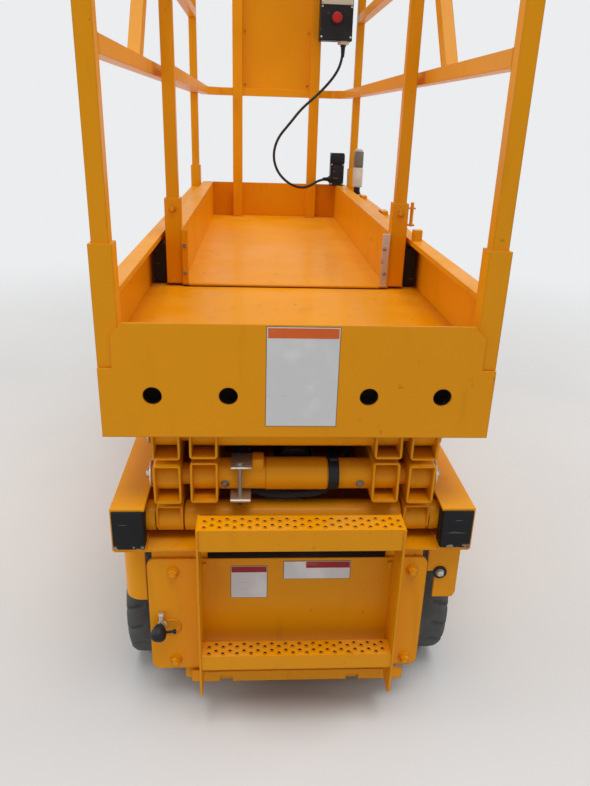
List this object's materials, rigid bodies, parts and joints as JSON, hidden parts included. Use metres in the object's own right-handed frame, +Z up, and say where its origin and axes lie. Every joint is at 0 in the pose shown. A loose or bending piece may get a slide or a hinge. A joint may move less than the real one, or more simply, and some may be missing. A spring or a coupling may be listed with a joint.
{
  "type": "electric scissor lift",
  "caption": "Slab scissor lift: chassis on steered wheels, crossed arms with a lift cylinder, railed platform with a roll-out deck and an entry ladder.",
  "frame": {"origin": "on the floor, midway between the ladder's front and the platform's far end, on the centre plane", "axes": "+X to the right seen from the ladder, +Y from the ladder end to the steered end, +Z up"},
  "size_m": [0.81, 2.31, 1.996],
  "materials": {
    "orange_paint": "glossy orange-yellow enamel",
    "black_paint": "satin black enamel",
    "rim_paint": "orange-yellow enamel",
    "tyre": "matt grey non-marking rubber",
    "black_plastic": "matt moulded plastic",
    "grey_plastic": "light grey moulded plastic",
    "red_plastic": "glossy red plastic",
    "chrome_rod": "ground and chromed steel",
    "cable_rubber": "matt black cable sheath"
  },
  "bodies": {
    "chassis": {"side_channel_left": "orange_paint", "side_channel_right": "orange_paint", "chassis_tub": "orange_paint", "chassis_nose": "orange_paint", "chassis_top_plates": "orange_paint", "bay_bulkheads": "orange_paint", "bay_floors": "orange_paint", "chassis_spine": "orange_paint", "axle_beam": "orange_paint", "pivot_tube": "orange_paint", "battery_pack": "black_plastic", "hydraulic_pack": "black_plastic", "chassis_end_cover": "orange_paint", "cover_knob": "black_plastic", "wheel_guards": "orange_paint", "ladder": "orange_paint", "steering_cylinder": "black_paint"},
    "lower_outer": {"lower_arms_outer": "orange_paint"},
    "lower_inner": {"lower_arms_inner": "orange_paint"},
    "middle_outer": {"middle_arms_outer": "orange_paint"},
    "middle_inner": {"middle_arms_inner": "orange_paint"},
    "upper_outer": {"upper_arms_outer": "orange_paint"},
    "upper_inner": {"upper_arms_inner": "orange_paint"},
    "platform": {"platform_deck": "orange_paint", "platform_side_left": "orange_paint", "platform_side_right": "orange_paint", "platform_end_plate": "orange_paint", "toe_board_left": "orange_paint", "toe_board_right": "orange_paint", "guard_rail_left": "orange_paint", "guard_rail_right": "orange_paint", "end_top_rail": "orange_paint", "switch_box": "grey_plastic"},
    "extension": {"extension_deck": "orange_paint", "extension_walls": "orange_paint", "extension_rails": "orange_paint", "guide_pads": "black_plastic", "control_box": "black_plastic", "stop_button": "red_plastic", "cable_socket": "black_plastic", "control_cable": "cable_rubber"},
    "lift_barrel": {"lift_cylinder_barrel": "black_paint"},
    "lift_rod": {"lift_cylinder_rod": "chrome_rod"},
    "steering_rod": {"steering_rod": "chrome_rod"},
    "wheel_near_left": {"tyre_near_left": "tyre", "rim_near_left": "rim_paint"},
    "wheel_far_left": {"tyre_far_left": "tyre", "rim_far_left": "rim_paint"},
    "knuckle_left": {"knuckle_left": "black_paint"},
    "door_left": {"side_door_left": "orange_paint"},
    "guard_left": {"pothole_guard_left": "orange_paint"},
    "wheel_near_right": {"tyre_near_right": "tyre", "rim_near_right": "rim_paint"},
    "wheel_far_right": {"tyre_far_right": "tyre", "rim_far_right": "rim_paint"},
    "knuckle_right": {"knuckle_right": "black_paint"},
    "door_right": {"side_door_right": "orange_paint"},
    "guard_right": {"pothole_guard_right": "orange_paint"}
  },
  "joints": [
    {"name": "lift", "type": "hinge", "parent": "chassis", "child": "lower_outer", "pos_m": [0, -1.015, 0.5075], "axis": [1, 0, 0], "range_deg": [0, 57]},
    {"name": "lower_cross", "type": "hinge", "parent": "lower_outer", "child": "lower_inner", "pos_m": [0, 0.01343, 0.56175], "axis": [1, 0, 0], "range_deg": [-114, 0]},
    {"name": "middle_near_pivot", "type": "hinge", "parent": "lower_inner", "child": "middle_outer", "pos_m": [0, -1.015, 0.616], "axis": [1, 0, 0], "range_deg": [0, 114]},
    {"name": "middle_cross", "type": "hinge", "parent": "middle_outer", "child": "middle_inner", "pos_m": [0, 0.01343, 0.67025], "axis": [1, 0, 0], "range_deg": [-114, 0]},
    {"name": "upper_near_pivot", "type": "hinge", "parent": "middle_inner", "child": "upper_outer", "pos_m": [0, -1.015, 0.7245], "axis": [1, 0, 0], "range_deg": [0, 114]},
    {"name": "upper_cross", "type": "hinge", "parent": "upper_outer", "child": "upper_inner", "pos_m": [0, 0.01343, 0.77875], "axis": [1, 0, 0], "range_deg": [-114, 0]},
    {"name": "platform_pivot", "type": "hinge", "parent": "upper_inner", "child": "platform", "pos_m": [0, -1.015, 0.833], "axis": [1, 0, 0], "range_deg": [0, 57]},
    {"name": "lift_cylinder_base", "type": "hinge", "parent": "lower_inner", "child": "lift_barrel", "pos_m": [0, -1.015, 0.616], "axis": [1, 0, 0], "range_deg": [0, 120.17]},
    {"name": "lift_cylinder_stroke", "type": "slide", "parent": "lift_barrel", "child": "lift_rod", "axis": [0, 0.9974, 0.0727], "range_m": [0, 0.51107]},
    {"name": "deck_extension", "type": "slide", "parent": "platform", "child": "extension", "axis": [0, 1, 0], "range_m": [0, 0.92]},
    {"name": "near_wheel_left", "type": "hinge", "parent": "chassis", "child": "wheel_near_left", "pos_m": [-0.3415, -0.823, 0.19], "axis": [1, 0, 0], "continuous": true},
    {"name": "near_wheel_right", "type": "hinge", "parent": "chassis", "child": "wheel_near_right", "pos_m": [0.3415, -0.823, 0.19], "axis": [1, 0, 0], "continuous": true},
    {"name": "steer_left", "type": "hinge", "parent": "chassis", "child": "knuckle_left", "pos_m": [-0.235, 0.9, 0.19], "axis": [0, 0, 1], "range_deg": [-48, 48]},
    {"name": "steer_right", "type": "hinge", "parent": "chassis", "child": "knuckle_right", "pos_m": [0.235, 0.9, 0.19], "axis": [0, 0, 1], "range_deg": [-48, 48]},
    {"name": "steering_stroke", "type": "slide", "parent": "chassis", "child": "steering_rod", "axis": [1, 0, 0], "range_m": [-0.05649, 0.05649]},
    {"name": "far_wheel_left", "type": "hinge", "parent": "knuckle_left", "child": "wheel_far_left", "pos_m": [-0.3415, 0.9, 0.19], "axis": [1, 0, 0], "continuous": true},
    {"name": "far_wheel_right", "type": "hinge", "parent": "knuckle_right", "child": "wheel_far_right", "pos_m": [0.3415, 0.9, 0.19], "axis": [1, 0, 0], "continuous": true},
    {"name": "side_door_left", "type": "hinge", "parent": "chassis", "child": "door_left", "pos_m": [-0.399, -0.593, 0.16], "axis": [0, 0, 1], "range_deg": [0, 100]},
    {"name": "pothole_guard_left", "type": "hinge", "parent": "chassis", "child": "guard_left", "pos_m": [-0.377, 0, 0.1517], "axis": [0, 1, 0], "range_deg": [0, 90]},
    {"name": "side_door_right", "type": "hinge", "parent": "chassis", "child": "door_right", "pos_m": [0.399, -0.593, 0.16], "axis": [0, 0, -1], "range_deg": [0, 100]},
    {"name": "pothole_guard_right", "type": "hinge", "parent": "chassis", "child": "guard_right", "pos_m": [0.377, 0, 0.1517], "axis": [0, -1, 0], "range_deg": [0, 90]}
  ],
  "couplings": [
    {"joint": "lower_cross", "follows": "lift", "ratio": -2},
    {"joint": "middle_near_pivot", "follows": "lift", "ratio": 2},
    {"joint": "middle_cross", "follows": "lift", "ratio": -2},
    {"joint": "upper_near_pivot", "follows": "lift", "ratio": 2},
    {"joint": "upper_cross", "follows": "lift", "ratio": -2},
    {"joint": "platform_pivot", "follows": "lift", "ratio": 1},
    {"joint": "lift_cylinder_base", "follows": "lift", "ratio": 2.1082},
    {"joint": "lift_cylinder_stroke", "follows": "lift", "m_per_rad": 0.51371},
    {"joint": "steer_right", "follows": "steer_left", "ratio": 1},
    {"joint": "steering_stroke", "follows": "steer_left", "m_per_rad": 0.067417}
  ]
}
